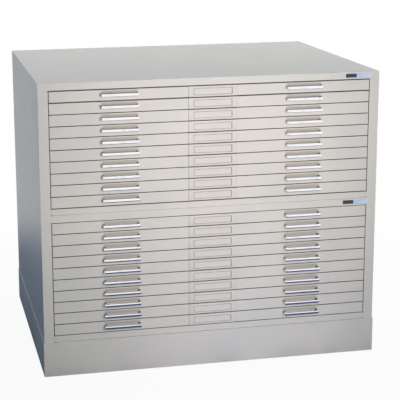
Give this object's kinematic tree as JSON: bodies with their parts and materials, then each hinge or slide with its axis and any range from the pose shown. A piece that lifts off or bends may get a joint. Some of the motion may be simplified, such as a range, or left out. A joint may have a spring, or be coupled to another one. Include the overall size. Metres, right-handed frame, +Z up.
{
  "type": "flat file drawer cabinet",
  "caption": "Low steel cabinet of thin, wide drawers for flat sheets, in stacked units on a closed base, each drawer with bow pulls, a label holder and roller runners.",
  "frame": {"origin": "on the floor, midway across the width and midway between the front of the pulls and the back of the cabinet", "axes": "+X to the right along the width, +Y to the back, +Z up; drawers open towards -Y"},
  "size_m": [1.039, 0.809, 0.8893],
  "materials": {
    "sand_enamel": "semi-gloss baked enamel, fine orange peel",
    "bright_chrome": "polished chrome plate",
    "zinc_steel": "bright zinc plate",
    "badge_plate": "satin plate with a dark enamel end, blank"
  },
  "bodies": {
    "cabinet": {"upper_top_cap": "sand_enamel", "upper_right_side": "sand_enamel", "upper_left_side": "sand_enamel", "upper_back_panel": "sand_enamel", "upper_bottom_pan": "sand_enamel", "upper_runners": "zinc_steel", "upper_runner_rollers": "zinc_steel", "lower_top_cap": "sand_enamel", "lower_right_side": "sand_enamel", "lower_left_side": "sand_enamel", "lower_back_panel": "sand_enamel", "lower_bottom_pan": "sand_enamel", "lower_runners": "zinc_steel", "lower_runner_rollers": "zinc_steel", "uprights": "sand_enamel", "badges": "badge_plate", "bolts": "zinc_steel", "base_front": "sand_enamel", "base_back": "sand_enamel", "base_sides": "sand_enamel"},
    "upper_drawer_01": {"upper_drawer_01_tray": "sand_enamel", "upper_drawer_01_pulls": "bright_chrome"},
    "upper_drawer_02": {"upper_drawer_02_tray": "sand_enamel", "upper_drawer_02_pulls": "bright_chrome"},
    "upper_drawer_03": {"upper_drawer_03_tray": "sand_enamel", "upper_drawer_03_pulls": "bright_chrome"},
    "upper_drawer_04": {"upper_drawer_04_tray": "sand_enamel", "upper_drawer_04_pulls": "bright_chrome"},
    "upper_drawer_05": {"upper_drawer_05_tray": "sand_enamel", "upper_drawer_05_pulls": "bright_chrome"},
    "upper_drawer_06": {"upper_drawer_06_tray": "sand_enamel", "upper_drawer_06_pulls": "bright_chrome"},
    "upper_drawer_07": {"upper_drawer_07_tray": "sand_enamel", "upper_drawer_07_pulls": "bright_chrome"},
    "upper_drawer_08": {"upper_drawer_08_tray": "sand_enamel", "upper_drawer_08_pulls": "bright_chrome"},
    "upper_drawer_09": {"upper_drawer_09_tray": "sand_enamel", "upper_drawer_09_pulls": "bright_chrome"},
    "upper_drawer_10": {"upper_drawer_10_tray": "sand_enamel", "upper_drawer_10_pulls": "bright_chrome"},
    "lower_drawer_01": {"lower_drawer_01_tray": "sand_enamel", "lower_drawer_01_pulls": "bright_chrome"},
    "lower_drawer_02": {"lower_drawer_02_tray": "sand_enamel", "lower_drawer_02_pulls": "bright_chrome"},
    "lower_drawer_03": {"lower_drawer_03_tray": "sand_enamel", "lower_drawer_03_pulls": "bright_chrome"},
    "lower_drawer_04": {"lower_drawer_04_tray": "sand_enamel", "lower_drawer_04_pulls": "bright_chrome"},
    "lower_drawer_05": {"lower_drawer_05_tray": "sand_enamel", "lower_drawer_05_pulls": "bright_chrome"},
    "lower_drawer_06": {"lower_drawer_06_tray": "sand_enamel", "lower_drawer_06_pulls": "bright_chrome"},
    "lower_drawer_07": {"lower_drawer_07_tray": "sand_enamel", "lower_drawer_07_pulls": "bright_chrome"},
    "lower_drawer_08": {"lower_drawer_08_tray": "sand_enamel", "lower_drawer_08_pulls": "bright_chrome"},
    "lower_drawer_09": {"lower_drawer_09_tray": "sand_enamel", "lower_drawer_09_pulls": "bright_chrome"},
    "lower_drawer_10": {"lower_drawer_10_tray": "sand_enamel", "lower_drawer_10_pulls": "bright_chrome"}
  },
  "joints": [
    {"name": "upper_drawer_01_slide", "type": "slide", "parent": "cabinet", "child": "upper_drawer_01", "axis": [0, -1, 0], "range_m": [0, 0.56]},
    {"name": "upper_drawer_02_slide", "type": "slide", "parent": "cabinet", "child": "upper_drawer_02", "axis": [0, -1, 0], "range_m": [0, 0.56]},
    {"name": "upper_drawer_03_slide", "type": "slide", "parent": "cabinet", "child": "upper_drawer_03", "axis": [0, -1, 0], "range_m": [0, 0.56]},
    {"name": "upper_drawer_04_slide", "type": "slide", "parent": "cabinet", "child": "upper_drawer_04", "axis": [0, -1, 0], "range_m": [0, 0.56]},
    {"name": "upper_drawer_05_slide", "type": "slide", "parent": "cabinet", "child": "upper_drawer_05", "axis": [0, -1, 0], "range_m": [0, 0.56]},
    {"name": "upper_drawer_06_slide", "type": "slide", "parent": "cabinet", "child": "upper_drawer_06", "axis": [0, -1, 0], "range_m": [0, 0.56]},
    {"name": "upper_drawer_07_slide", "type": "slide", "parent": "cabinet", "child": "upper_drawer_07", "axis": [0, -1, 0], "range_m": [0, 0.56]},
    {"name": "upper_drawer_08_slide", "type": "slide", "parent": "cabinet", "child": "upper_drawer_08", "axis": [0, -1, 0], "range_m": [0, 0.56]},
    {"name": "upper_drawer_09_slide", "type": "slide", "parent": "cabinet", "child": "upper_drawer_09", "axis": [0, -1, 0], "range_m": [0, 0.56]},
    {"name": "upper_drawer_10_slide", "type": "slide", "parent": "cabinet", "child": "upper_drawer_10", "axis": [0, -1, 0], "range_m": [0, 0.56]},
    {"name": "lower_drawer_01_slide", "type": "slide", "parent": "cabinet", "child": "lower_drawer_01", "axis": [0, -1, 0], "range_m": [0, 0.56]},
    {"name": "lower_drawer_02_slide", "type": "slide", "parent": "cabinet", "child": "lower_drawer_02", "axis": [0, -1, 0], "range_m": [0, 0.56]},
    {"name": "lower_drawer_03_slide", "type": "slide", "parent": "cabinet", "child": "lower_drawer_03", "axis": [0, -1, 0], "range_m": [0, 0.56]},
    {"name": "lower_drawer_04_slide", "type": "slide", "parent": "cabinet", "child": "lower_drawer_04", "axis": [0, -1, 0], "range_m": [0, 0.56]},
    {"name": "lower_drawer_05_slide", "type": "slide", "parent": "cabinet", "child": "lower_drawer_05", "axis": [0, -1, 0], "range_m": [0, 0.56]},
    {"name": "lower_drawer_06_slide", "type": "slide", "parent": "cabinet", "child": "lower_drawer_06", "axis": [0, -1, 0], "range_m": [0, 0.56]},
    {"name": "lower_drawer_07_slide", "type": "slide", "parent": "cabinet", "child": "lower_drawer_07", "axis": [0, -1, 0], "range_m": [0, 0.56]},
    {"name": "lower_drawer_08_slide", "type": "slide", "parent": "cabinet", "child": "lower_drawer_08", "axis": [0, -1, 0], "range_m": [0, 0.56]},
    {"name": "lower_drawer_09_slide", "type": "slide", "parent": "cabinet", "child": "lower_drawer_09", "axis": [0, -1, 0], "range_m": [0, 0.56]},
    {"name": "lower_drawer_10_slide", "type": "slide", "parent": "cabinet", "child": "lower_drawer_10", "axis": [0, -1, 0], "range_m": [0, 0.56]}
  ]
}
